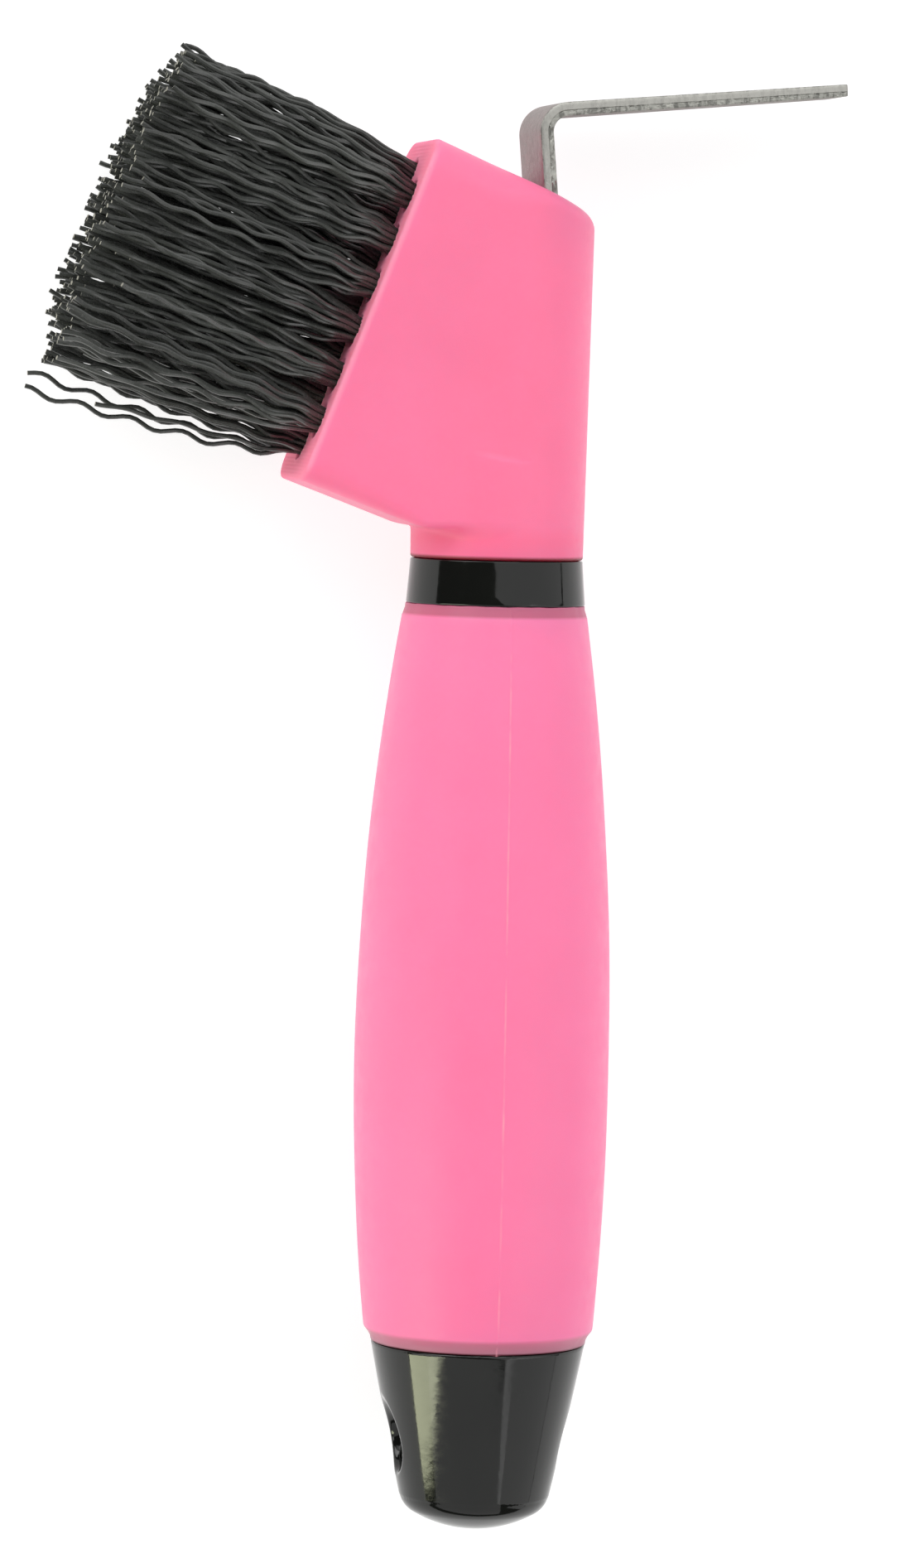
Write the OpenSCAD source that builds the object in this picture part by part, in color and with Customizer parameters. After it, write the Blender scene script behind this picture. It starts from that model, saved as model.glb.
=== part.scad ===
// Hoof pick with a stable brush.
// The tool is designed upright: z runs up the handle from the butt, x points from
// the brush to the hook and y is the thickness. lie_down() then lays it on its side
// as it rests on a table, with the centre of the hang hole at the origin.

/* [End cap] */
// Height of the visible end cap
cap_h = 22.8; // [20:0.1:26]
// Radius of the end cap where it meets the grip
cap_r = 13.0; // [12:0.1:14]
// Radius that the cap's straight taper would reach at the butt
cap_butt_r = 8.2; // [7:0.1:9]
// Radius of the domed butt
dome_r = 15; // [14:0.5:18]
// Radius of the corner between taper and dome
cap_corner_r = 3; // [2:0.25:3.5]
// Radius of the hang hole through the cap
hang_r = 3.25; // [2.5:0.25:3.5]
// Height of the hang hole's centre above the butt
hang_z = 10.4; // [9.5:0.1:11]
// Length of the hang hole's straight wall, between the flares
hang_len = 18.6; // [17:0.2:19]

/* [Gel grip] */
// Length of the gel grip
grip_len = 89.4; // [80:0.1:100]
// Radius of the grip at its belly
belly_r = 15.4; // [14:0.1:17]
// Height of the belly above the butt
belly_z = 56.5; // [50:0.5:65]
// Radius of the grip at its top end
grip_top_r = 10.95; // [10.8:0.05:12]
// Radius of the grip above its lower lip
grip_low_r = 13.9; // [13.6:0.1:14.5]
// Height of the chamfered lower lip
lip_h = 1.6; // [1:0.1:2.5]

/* [Collar and core] */
// Height of the visible collar
collar_h = 5.4; // [4:0.1:8]
// Radius of the neck, and of the collar's top
neck_r = 10.4; // [10.2:0.05:10.7]
// Height of the neck between collar and head
neck_h = 3.7; // [3:0.1:6]
// Radius of the core that carries grip and collar
core_r = 8.6; // [8:0.1:8.8]
// Radius of the spigot that the end cap is pressed on
spigot_r = 7.2; // [6.5:0.1:7.6]
// Radius of the hollow inside the core
hollow_r = 4.8; // [3:0.1:5.2]

/* [Head] */
// Forward reach of the brush face's lower edge
face_reach = 25.5; // [22:0.5:28]
// Height of the brush face's lower edge above the neck
face_rise = 5.5; // [4:0.5:7]
// Length of the brush face
face_len = 43.8; // [42:0.1:48]
// Lean of the brush face from the handle
face_lean = 20.9; // [18:0.1:23]
// Fall of the head's top edge towards the hook
top_fall = 23.3; // [20:0.1:26]
// Draft that widens the head towards its top
draft = 0.62; // [0:0.01:1]
// Radius of the head's long upper and lower edges
edge_r = 4; // [2:0.5:5]

/* [Brush] */
// Number of tufts in the middle row; the outer rows have one less
tufts_mid = 7; // [5:1:7]
// Distance between tufts along a row
tuft_pitch = 5.75; // [5.5:0.05:5.8]
// Distance between rows
row_gap = 5.7; // [5:0.1:6]
// Radius of a tuft's hole
hole_r = 1.9; // [1.8:0.05:2]
// Depth of a tuft's hole
hole_depth = 12; // [10:0.5:12]
// Length of the bristles outside the head
bristle_len = 32.5; // [20:0.5:34]
// Radius of a tuft at its root
tuft_r = 1.8; // [1.6:0.05:1.85]
// Radius of a tuft at its tips
tip_r = 3.1; // [2:0.1:3.1]
// Turn of the end tufts away from the face's normal
fan_end = 4; // [3.5:0.5:6]
// Turn of the outer rows away from the middle row
fan_side = 6; // [5:0.5:7]

/* [Hook] */
// Thickness of the flat bar
bar_t = 1.65; // [1.5:0.05:2]
// Width of the flat bar
bar_w = 14.2; // [12:0.1:14.5]
// Thickness at the tip
tip_t = 1.45; // [1:0.05:1.5]
// Width at the tip
tip_w = 11.4; // [9:0.1:13]
// Length of the arm, from the outside of the bend
arm_len = 38.2; // [34:0.1:42]
// Inner radius of the bend
bend_r = 1.9; // [1.5:0.1:3]
// Lean of the whole hook towards the brush
hook_lean = 5.3; // [4:0.1:7]
// Where the outer faces of shank and arm would meet, along x
hook_x = 2.5; // [1.5:0.1:3]
// Height of that point above the butt
hook_z = 172.1; // [171:0.1:174]
// Length of the shank, from the outside of the bend to the end of the tang
shank_len = 36; // [30:0.5:38]
// Width of the tang inside the head
tang_w = 8.5; // [7:0.5:9]
// Radius of the hole that locks the tang
lock_r = 2; // [1.5:0.1:2.5]

/* [Rest pose] */
// Fall of the head towards the table as the tool lies
rest_pitch = 2.6; // [0:0.1:6]
// Roll of the hook towards the table as the tool lies
rest_roll = 2.4; // [0:0.1:3]

/* [Hidden] */
$fn = 96;

eps = 0.01;             // overshoot of a cut past the face it opens
slip = 0.05;            // radial room between pieces that are pushed together
pink = [1.0, 0.46, 0.66];
gel_pink = [1.0, 0.52, 0.72];
black = [0.09, 0.09, 0.09];
bristle_grey = [0.2, 0.2, 0.2];
zinc = [0.75, 0.75, 0.71];

// Heights of the joints between the pieces
grip_top_z = cap_h + grip_len;
collar_top_z = grip_top_z + collar_h;
head_z = collar_top_z + neck_h;
lap = 1.8;              // how far collar and cap reach under the gel
skirt_wall = 0.6;       // gel over those reaches
spigot_len = 7.2;
hollow_top_z = 100;

// Arc that drops by drop over run: its radius, and its drop at a distance s
function arc_r(run, drop) = (run * run + drop * drop) / (2 * drop);
function arc_drop(radius, s) = radius - sqrt(radius * radius - s * s);

// End cap: corner arc tangent to the taper and to the dome
cap_slope = (cap_r - cap_butt_r) / cap_h;
taper = atan(cap_slope);
inset_r = cap_butt_r - cap_corner_r / cos(taper);
inset_dome = dome_r - cap_corner_r;
qa = 1 + cap_slope * cap_slope;
qb = 2 * (inset_r * cap_slope - dome_r);
qc = inset_r * inset_r + dome_r * dome_r - inset_dome * inset_dome;
corner_z = (-qb - sqrt(qb * qb - 4 * qa * qc)) / (2 * qa);
corner_x = inset_r + cap_slope * corner_z;
dome_turn = atan2(dome_r - corner_z, corner_x);

// Brush face: its lower edge, its direction and its outward normal, in x and z
face_low = [-face_reach, head_z + face_rise];
face_dir = [sin(face_lean), cos(face_lean)];
face_top = face_low + face_len * face_dir;
face_mid = face_low + face_len / 2 * face_dir;
head_top_z = face_top[1];
head_back_r = neck_r + (head_top_z - collar_top_z) * tan(draft);
back_corner_r = 2.5;
block_end = 0.5;        // the flat-sided block ends this far behind the handle's axis
block_w = neck_r - 0.06;
block_grow = (head_top_z + 1 - collar_top_z) * tan(draft);
back_corner_z = face_top[1] - (head_back_r - face_top[0]) * tan(top_fall);

// Places along the shank, from the outside of the bend
tang_from = 16;         // where the shank narrows to the tang
lock_from = 29;         // where the lock hole sits on the tang

// Wire plate that holds a tuft in its hole
anchor_t = 0.4;
anchor_w = 4.6;
anchor_h = 3;
root_gap = 0.2;         // between a tuft's fold and the bottom of its hole
fan_from = 0.4;         // height at which a tuft starts to fan out

// Lays the upright tool on its side, hang hole at the origin
module lie_down() {
    rotate([-rest_pitch, 0, 0]) rotate([0, rest_roll, 0]) rotate([-90, 0, 0])
        translate([0, 0, -hang_z]) children();
}

// A cylinder along x through the point at height z
module along_x(r1, r2, from, to, z) {
    translate([from, 0, z]) rotate([0, 90, 0]) cylinder(r1 = r1, r2 = r2, h = to - from);
}

module cap_outline() {
    steps = 8;
    polygon(concat(
        [[0, cap_h + lap], [cap_r - skirt_wall, cap_h + lap], [cap_r - skirt_wall, cap_h], [cap_r, cap_h]],
        [for (i = [0 : steps])
            let (a = -taper - i / steps * (dome_turn - taper))
            [corner_x + cap_corner_r * cos(a), corner_z + cap_corner_r * sin(a)]],
        [for (i = [1 : steps])
            let (a = dome_turn + i / steps * (90 - dome_turn))
            [dome_r * cos(a), dome_r * (1 - sin(a))]]
    ));
}

// One flare of the hang hole, opening towards +x
module hang_flare() {
    flare = 6;
    along_x(hang_r, hang_r + flare, hang_len / 2, hang_len / 2 + flare, hang_z);
}

module end_cap() {
    color(black) lie_down() difference() {
        rotate_extrude() cap_outline();
        translate([0, 0, cap_h - spigot_len]) cylinder(r = spigot_r + slip, h = spigot_len + eps);
        translate([0, 0, cap_h]) cylinder(r = core_r + slip, h = lap + eps);
        along_x(hang_r, hang_r, -cap_r, cap_r, hang_z);
        hang_flare();
        mirror([1, 0, 0]) hang_flare();
    }
}

module grip_outline() {
    steps = 10;
    top_run = grip_top_z - belly_z;
    low_run = belly_z - cap_h - lip_h;
    top_arc = arc_r(top_run, belly_r - grip_top_r);
    low_arc = arc_r(low_run, belly_r - grip_low_r);
    polygon(concat(
        [[core_r, grip_top_z - lap], [neck_r - slip, grip_top_z - lap], [neck_r - slip, grip_top_z]],
        [for (i = [0 : steps])
            let (s = top_run * (1 - i / steps)) [belly_r - arc_drop(top_arc, s), belly_z + s]],
        [for (i = [1 : steps])
            let (s = low_run * i / steps) [belly_r - arc_drop(low_arc, s), belly_z - s]],
        [[cap_r + slip, cap_h], [cap_r - skirt_wall, cap_h], [cap_r - skirt_wall, cap_h + lap],
         [core_r, cap_h + lap]]
    ));
}

module gel_grip() {
    color(gel_pink) lie_down() rotate_extrude() grip_outline();
}

module collar() {
    bottom_r = grip_top_r - 0.15;
    color(black) lie_down() rotate_extrude() polygon([
        [core_r + slip, grip_top_z - lap], [neck_r - slip, grip_top_z - lap],
        [neck_r - slip, grip_top_z], [bottom_r, grip_top_z],
        [neck_r, collar_top_z], [core_r + slip, collar_top_z]
    ]);
}

// Side view of the brush block, in x and z; it ends inside the round back
module block_profile() {
    polygon([face_low, [-neck_r, head_z], [block_end, head_z], [block_end, face_top[1] + 1], face_top]);
}

// Everything above the head's falling top edge, with the rounded back corner
module above_top() {
    turn = 90 - top_fall;
    centre = [head_back_r - back_corner_r,
              back_corner_z - back_corner_r * tan(turn / 2)];
    clear = 10;
    rotate([90, 0, 0]) translate([0, 0, -2 * head_back_r]) linear_extrude(4 * head_back_r)
        polygon(concat(
            [face_top + [-clear, clear * tan(top_fall)]],
            [for (i = [6 : -1 : 0])
                let (a = turn * i / 6) centre + back_corner_r * [cos(a), sin(a)]],
            [centre + [back_corner_r, -clear], centre + [clear, -clear],
             [centre[0] + clear, face_top[1] + clear], [face_top[0] - clear, face_top[1] + clear]]
        ));
}

// Flat-sided block that carries the brush
module brush_block() {
    height = head_top_z - collar_top_z;
    intersection() {
        translate([block_end, 0, collar_top_z]) rotate([90, 0, -90])
            linear_extrude(face_reach + block_end + 1) polygon([
                [-block_w, 0], [block_w, 0],
                [block_w + block_grow, height + 1], [-block_w - block_grow, height + 1]
            ]);
        rotate([90, 0, 0]) translate([0, 0, -face_reach])
            linear_extrude(2 * face_reach) block_profile();
    }
}

// Cuts a long edge round: the edge starts at the point at and runs along +x,
// leaned by turn; dir is 1 for an upper edge and -1 for a lower one
module edge_cut(at, turn, run, half_w, dir) {
    translate([at[0], 0, at[1]]) rotate([0, -turn, 0]) for (side = [-1, 1])
        translate([-2, side * (half_w - edge_r), -dir * edge_r]) rotate([90, 0, 90])
            linear_extrude(run + 2) difference() {
                translate([side > 0 ? 0 : -edge_r - 1, dir > 0 ? 0 : -edge_r - 1])
                    square(edge_r + 1);
                circle(edge_r);
            }
}

module head_block() {
    difference() {
        union() {
            brush_block();
            translate([0, 0, collar_top_z])
                cylinder(r1 = neck_r, r2 = head_back_r, h = head_top_z - collar_top_z);
        }
        above_top();
        edge_cut(face_top, -top_fall, -face_top[0] / cos(top_fall), block_w + block_grow - slip, 1);
        edge_cut(face_low, -atan2(face_rise, face_reach - neck_r), face_reach - neck_r, neck_r, -1);
    }
}

// Stands children at a place on the brush face: s along the face, y across it;
// their +z then points out of the face, fanned by fan along it and spread across it
module on_face(s, y, fan = 0, spread = 0) {
    p = face_mid + s * face_dir;
    translate([p[0], y, p[1]]) rotate([0, -(90 - face_lean) + fan, 0]) rotate([-spread, 0, 0])
        children();
}

function tuft_s(row, i) = (i - ((row == 0 ? tufts_mid : tufts_mid - 1) - 1) / 2) * tuft_pitch;
function tuft_count(row) = row == 0 ? tufts_mid : tufts_mid - 1;
tuft_span = (tufts_mid - 1) / 2 * tuft_pitch;

module anchor_plate(room = 0) {
    translate([-anchor_t / 2 - room, -anchor_w / 2, -hole_depth])
        cube([anchor_t + 2 * room, anchor_w, anchor_h + room]);
}

// One tuft of bristles, folded over its anchor; row is -1, 0 or 1
module tuft(row, i) {
    s = tuft_s(row, i);
    fan = fan_end * s / tuft_span;
    color(bristle_grey) lie_down() {
        on_face(s, row * row_gap) difference() {
            translate([0, 0, root_gap - hole_depth]) cylinder(r = tuft_r, h = hole_depth - root_gap);
            anchor_plate(slip);
        }
        on_face(s, row * row_gap, fan, row * fan_side) tuft_fan();
    }
}

module tuft_fan() {
    translate([0, 0, fan_from]) cylinder(r1 = tuft_r, r2 = tip_r, h = bristle_len - fan_from);
    translate([0, 0, -fan_from]) cylinder(r = tuft_r - slip, h = 2 * fan_from + eps);
}

module tuft_anchors() {
    color(zinc) lie_down() for (row = [-1 : 1]) for (i = [0 : tuft_count(row) - 1])
        on_face(tuft_s(row, i), row * row_gap) anchor_plate();
}

// The bent bar in its own frame: outer corner of the bend at the origin, shank
// down -z with its outer face on the yz plane, arm along +x with its top on the xy plane
module hook_bar() {
    outer_r = bend_r + bar_t;
    translate([0, 0, -outer_r]) rotate([90, 0, 0]) translate([0, 0, -bar_w / 2])
        linear_extrude(bar_w) intersection() {
            difference() {
                translate([outer_r, 0]) circle(outer_r);
                translate([outer_r, 0]) circle(bend_r);
            }
            square(outer_r);
        }
    translate([0, -bar_w / 2, -tang_from]) cube([bar_t, bar_w, tang_from - outer_r]);
    difference() {
        translate([0, -tang_w / 2, -shank_len]) cube([bar_t, tang_w, shank_len - tang_from]);
        translate([-eps, 0, -lock_from]) rotate([0, 90, 0]) cylinder(r = lock_r, h = bar_t + 2 * eps);
    }
    translate([outer_r, 0, 0]) intersection() {
        rotate([90, 0, 0]) translate([0, 0, -bar_w / 2]) linear_extrude(bar_w) polygon([
            [0, 0], [arm_len - outer_r, 0], [arm_len - outer_r, -tip_t], [0, -bar_t]
        ]);
        translate([0, 0, -bar_t - 1]) linear_extrude(bar_t + 2) polygon([
            [0, -bar_w / 2], [arm_len - outer_r, -tip_w / 2],
            [arm_len - outer_r, tip_w / 2], [0, bar_w / 2]
        ]);
    }
}

module place_hook() {
    translate([hook_x, 0, hook_z]) rotate([0, -hook_lean, 0]) children();
}

module hook() {
    color(zinc) lie_down() place_hook() hook_bar();
}

module core() {
    translate([0, 0, cap_h]) cylinder(r = core_r, h = collar_top_z - cap_h + eps);
    translate([0, 0, cap_h - spigot_len]) cylinder(r = spigot_r, h = spigot_len + eps);
}

module head_and_core() {
    color(pink) lie_down() difference() {
        union() {
            head_block();
            core();
        }
        translate([0, 0, cap_h - spigot_len - eps])
            cylinder(r = hollow_r, h = hollow_top_z - cap_h + spigot_len);
        place_hook() hook_bar();
        for (row = [-1 : 1]) for (i = [0 : tuft_count(row) - 1])
            on_face(tuft_s(row, i), row * row_gap) {
                translate([0, 0, -hole_depth]) cylinder(r = hole_r, h = hole_depth + 1);
                anchor_plate();
            }
    }
}

head_and_core();
hook();
collar();
gel_grip();
end_cap();
tuft_anchors();
tuft(-1, 0);  // tuft_near_1
tuft(-1, 1);  // tuft_near_2
tuft(-1, 2);  // tuft_near_3
tuft(-1, 3);  // tuft_near_4
tuft(-1, 4);  // tuft_near_5
tuft(-1, 5);  // tuft_near_6
tuft(0, 0);  // tuft_mid_1
tuft(0, 1);  // tuft_mid_2
tuft(0, 2);  // tuft_mid_3
tuft(0, 3);  // tuft_mid_4
tuft(0, 4);  // tuft_mid_5
tuft(0, 5);  // tuft_mid_6
tuft(0, 6);  // tuft_mid_7
tuft(1, 0);  // tuft_far_1
tuft(1, 1);  // tuft_far_2
tuft(1, 2);  // tuft_far_3
tuft(1, 3);  // tuft_far_4
tuft(1, 4);  // tuft_far_5
tuft(1, 5);  // tuft_far_6
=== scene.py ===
import math

import bpy
import numpy as np
from mathutils import Matrix, Vector


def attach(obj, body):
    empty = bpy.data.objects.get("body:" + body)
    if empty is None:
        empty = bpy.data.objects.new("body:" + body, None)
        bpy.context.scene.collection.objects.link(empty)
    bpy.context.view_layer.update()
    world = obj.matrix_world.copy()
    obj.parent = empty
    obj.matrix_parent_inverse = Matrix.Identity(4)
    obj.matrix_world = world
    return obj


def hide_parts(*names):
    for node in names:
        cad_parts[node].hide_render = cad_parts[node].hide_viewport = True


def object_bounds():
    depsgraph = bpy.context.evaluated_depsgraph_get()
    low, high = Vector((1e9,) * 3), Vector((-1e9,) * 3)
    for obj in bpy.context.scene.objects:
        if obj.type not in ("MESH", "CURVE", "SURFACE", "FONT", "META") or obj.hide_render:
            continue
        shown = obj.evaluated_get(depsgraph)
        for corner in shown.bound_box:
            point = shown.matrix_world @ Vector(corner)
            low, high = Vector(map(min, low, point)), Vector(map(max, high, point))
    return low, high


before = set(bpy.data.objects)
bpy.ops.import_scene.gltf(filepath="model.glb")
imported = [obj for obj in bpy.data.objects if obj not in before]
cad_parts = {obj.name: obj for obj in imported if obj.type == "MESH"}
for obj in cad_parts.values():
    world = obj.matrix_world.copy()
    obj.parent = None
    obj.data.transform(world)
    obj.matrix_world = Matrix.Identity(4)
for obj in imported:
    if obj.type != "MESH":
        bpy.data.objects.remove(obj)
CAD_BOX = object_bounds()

# The tool's own frame, in millimetres: z runs up the handle from the butt, x points from the
# brush to the hook, y is the thickness. The numbers are those of the CAD design.
MM = 0.001

CAP_H = 22.8
CAP_R = 13.0
CAP_BUTT_R = 8.2
DOME_R = 15.0
CAP_CORNER_R = 3.0
HANG_R = 3.25
HANG_Z = 10.4
HANG_HALF = 9.3
SPIGOT_R = 7.2
SPIGOT_LEN = 7.2

GRIP_LEN = 89.4
BELLY_R = 15.4
BELLY_Z = 56.5
GRIP_TOP_R = 10.95
GRIP_LOW_R = 13.9
GRIP_BOW = 0.35          # towards the brush at its middle
LIP_H = 1.6
LAP = 1.8
SKIRT_WALL = 0.6
SLIP = 0.05

COLLAR_H = 5.4
NECK_R = 10.4
NECK_H = 3.7
CORE_R = 8.6
HOLLOW_R = 4.8
HOLLOW_TOP = 100.0

FACE_REACH = 25.5
FACE_RISE = 5.5
FACE_LEN = 43.8
FACE_LEAN = math.radians(20.9)
TOP_FALL = math.radians(23.3)
DRAFT = math.radians(0.62)
EDGE_R = 4.0

TUFTS_MID = 7
TUFT_PITCH = 5.75
ROW_GAP = 5.7
HOLE_R = 1.9
HOLE_DEPTH = 12.0
BRISTLE_LEN = 32.5

BAR_T = 1.65
BAR_W = 14.2
TIP_T = 1.45
TIP_W = 11.4
ARM_LEN = 38.2
BEND_R = 1.9
HOOK_LEAN = math.radians(5.3)
HOOK_X = 2.5
HOOK_Z = 172.1
SHANK_LEN = 36.0
TANG_FROM = 16.0
TANG_W = 8.5

REST_PITCH = math.radians(2.6)
REST_ROLL = math.radians(2.4)

GRIP_TOP = CAP_H + GRIP_LEN
COLLAR_TOP = GRIP_TOP + COLLAR_H
HEAD_Z = COLLAR_TOP + NECK_H
FACE_DIR = np.array([math.sin(FACE_LEAN), math.cos(FACE_LEAN)])
FACE_OUT = np.array([-math.cos(FACE_LEAN), math.sin(FACE_LEAN)])
FACE_LOW = np.array([-FACE_REACH, HEAD_Z + FACE_RISE])
FACE_MID = FACE_LOW + FACE_DIR * FACE_LEN / 2
FACE_TOP = FACE_LOW + FACE_DIR * FACE_LEN

# From the upright tool frame to the row's frame, where the tool lies on the table.
LIE_DOWN = (Matrix.Rotation(-REST_PITCH, 4, "X") @ Matrix.Rotation(REST_ROLL, 4, "Y")
            @ Matrix.Rotation(-math.pi / 2, 4, "X") @ Matrix.Translation((0, 0, -HANG_Z * MM)))
TURN = np.array(LIE_DOWN.to_3x3())
SHIFT = np.array(LIE_DOWN.translation)


def lie_down(points):
    """Points of the tool frame in millimetres, as points of the row's frame in metres."""
    return np.asarray(points, float) * MM @ TURN.T + SHIFT


# ---------------------------------------------------------------- camera

CAMERA_AWAY = 830.0                     # from the handle's axis
CAMERA_UP_HANDLE = 139.7                # where on the handle it looks at a right angle
CAMERA_YAW = math.radians(10.3)         # turned towards the brush
CAMERA_ROLL = math.radians(1.38)        # the handle leans to the right
AIM_Z = 90.35
AIM_SIDE = -3.8
PICTURE_HEIGHT = 189.3                  # what the picture spans at the aimed point


def make_camera():
    yaw = CAMERA_YAW
    right = np.array([math.cos(yaw), -math.sin(yaw), 0])
    towards = np.array([-math.sin(yaw), -math.cos(yaw), 0])
    place = towards * CAMERA_AWAY + np.array([0, 0, CAMERA_UP_HANDLE])
    aim = right * AIM_SIDE + np.array([0, 0, AIM_Z])
    look = aim - place
    depth = np.linalg.norm(look)
    look = look / depth
    side = np.cross(look, [0, 0, 1])
    side = side / np.linalg.norm(side)
    over = np.cross(side, look)
    c, s = math.cos(CAMERA_ROLL), math.sin(CAMERA_ROLL)
    side, over = side * c + over * s, over * c - side * s
    axes = TURN @ np.column_stack([side, over, -look])
    data = bpy.data.cameras.new("camera")
    data.sensor_width = 36.0
    data.lens = data.sensor_width * depth / PICTURE_HEIGHT
    data.clip_start = 0.01
    data.clip_end = 50
    camera = bpy.data.objects.new("camera", data)
    camera.matrix_world = Matrix.Translation(lie_down(place)) @ Matrix(axes.tolist()).to_4x4()
    bpy.context.collection.objects.link(camera)
    bpy.context.scene.camera = camera


# ---------------------------------------------------------------- materials

class Nodes:
    """Shorthand for building one material's nodes."""

    def __init__(self, name):
        self.material = bpy.data.materials.new(name)
        self.material.use_nodes = True
        self.tree = self.material.node_tree
        self.shader = self.tree.nodes["Principled BSDF"]
        place = self.tree.nodes.new("ShaderNodeTexCoord").outputs["Object"]
        stand_up = LIE_DOWN.inverted()
        self.place = self.add("ShaderNodeMapping", {"Vector": place, "Location": stand_up.translation,
                                                    "Rotation": stand_up.to_euler()}).outputs["Vector"]

    def add(self, kind, inputs=None, **settings):
        node = self.tree.nodes.new(kind)
        for key, value in settings.items():
            setattr(node, key, value)
        for key, value in (inputs or {}).items():
            if isinstance(value, bpy.types.NodeSocket):
                self.tree.links.new(value, node.inputs[key])
            else:
                node.inputs[key].default_value = value
        return node

    def set(self, **values):
        for key, value in values.items():
            self.shader.inputs[key.replace("_", " ")].default_value = value

    def link(self, socket, name):
        self.tree.links.new(socket, self.shader.inputs[name])

    def noise(self, scale, detail=3.0, vector=None, rough=0.55):
        inputs = {"Vector": vector or self.place, "Scale": scale, "Detail": detail, "Roughness": rough}
        return self.add("ShaderNodeTexNoise", inputs).outputs["Fac"]

    def ramp(self, fac, low, high, at=(0.35, 0.65)):
        node = self.add("ShaderNodeValToRGB", {"Fac": fac})
        for element, place, colour in zip(node.color_ramp.elements, at, (low, high)):
            element.position = place
            element.color = (*colour, 1)
        return node.outputs["Color"]

    def span(self, fac, low, high, from_low=0.3, from_high=0.7):
        inputs = {"Value": fac, "From Min": from_low, "From Max": from_high, "To Min": low, "To Max": high}
        return self.add("ShaderNodeMapRange", inputs).outputs["Result"]

    def stretched(self, sx, sy, sz):
        return self.add("ShaderNodeMapping", {"Vector": self.place, "Scale": (sx, sy, sz)}).outputs["Vector"]

    def along(self, direction, origin):
        """Millimetres along a direction of the tool frame, from an origin in millimetres."""
        places = {0: self.place, 1: [c * MM for c in origin]}
        start = self.add("ShaderNodeVectorMath", places, operation="SUBTRACT")
        inputs = {0: start.outputs["Vector"], 1: [c / MM for c in direction]}
        return self.add("ShaderNodeVectorMath", inputs, operation="DOT_PRODUCT").outputs["Value"]

    def mix(self, fac, low, high):
        inputs = {"Factor": fac, "A": low, "B": high}
        node = self.tree.nodes.new("ShaderNodeMix")
        node.data_type = "RGBA"
        for socket in node.inputs:
            if socket.name in inputs and socket.enabled:
                value = inputs[socket.name]
                if isinstance(value, bpy.types.NodeSocket):
                    self.tree.links.new(value, socket)
                else:
                    socket.default_value = value if socket.name == "Factor" else (*value, 1)
        return next(o for o in node.outputs if o.enabled)

    def math(self, operation, a, b=0.0):
        return self.add("ShaderNodeMath", {0: a, 1: b}, operation=operation).outputs["Value"]

    def times(self, a, b):
        return self.math("MULTIPLY", a, b)

    def bump(self, height, distance, strength=1.0, under=None):
        inputs = {"Height": height, "Distance": distance, "Strength": strength}
        if under:
            inputs["Normal"] = under
        return self.add("ShaderNodeBump", inputs).outputs["Normal"]


def shade(colour, factor):
    return tuple(min(1.0, c * factor) for c in colour)


HEAD_PINK = (0.93, 0.182, 0.345)
# painted highlight along the brush face's long edges
HEAD_EDGE_HIGHLIGHT = (0.95, 0.30, 0.44)
# painted shadow in the gap above the collar
HEAD_GAP_SHADOW = (0.22, 0.006, 0.02)
# painted shade on the neck under the head
HEAD_NECK_SHADE = (0.93, 0.155, 0.30)
# painted shade tint of the brush face under the bristles
HEAD_FACE_SHADE_TINT = (0.97, 0.22, 0.34)
GEL_PINK = (0.94, 0.195, 0.385)
GEL_EDGE_TOP = (0.55, 0.115, 0.205)
GEL_EDGE_LOW = (0.47, 0.155, 0.225)
# painted shadow under the gel's lower lip
GEL_GAP_SHADOW = (0.10, 0.006, 0.02)
# painted highlight along the grip's mould seams
GEL_SEAM_HIGHLIGHT = (0.96, 0.33, 0.42)
GEL_EDGE_LOW_THICK = (0.60, 0.16, 0.26)


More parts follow.
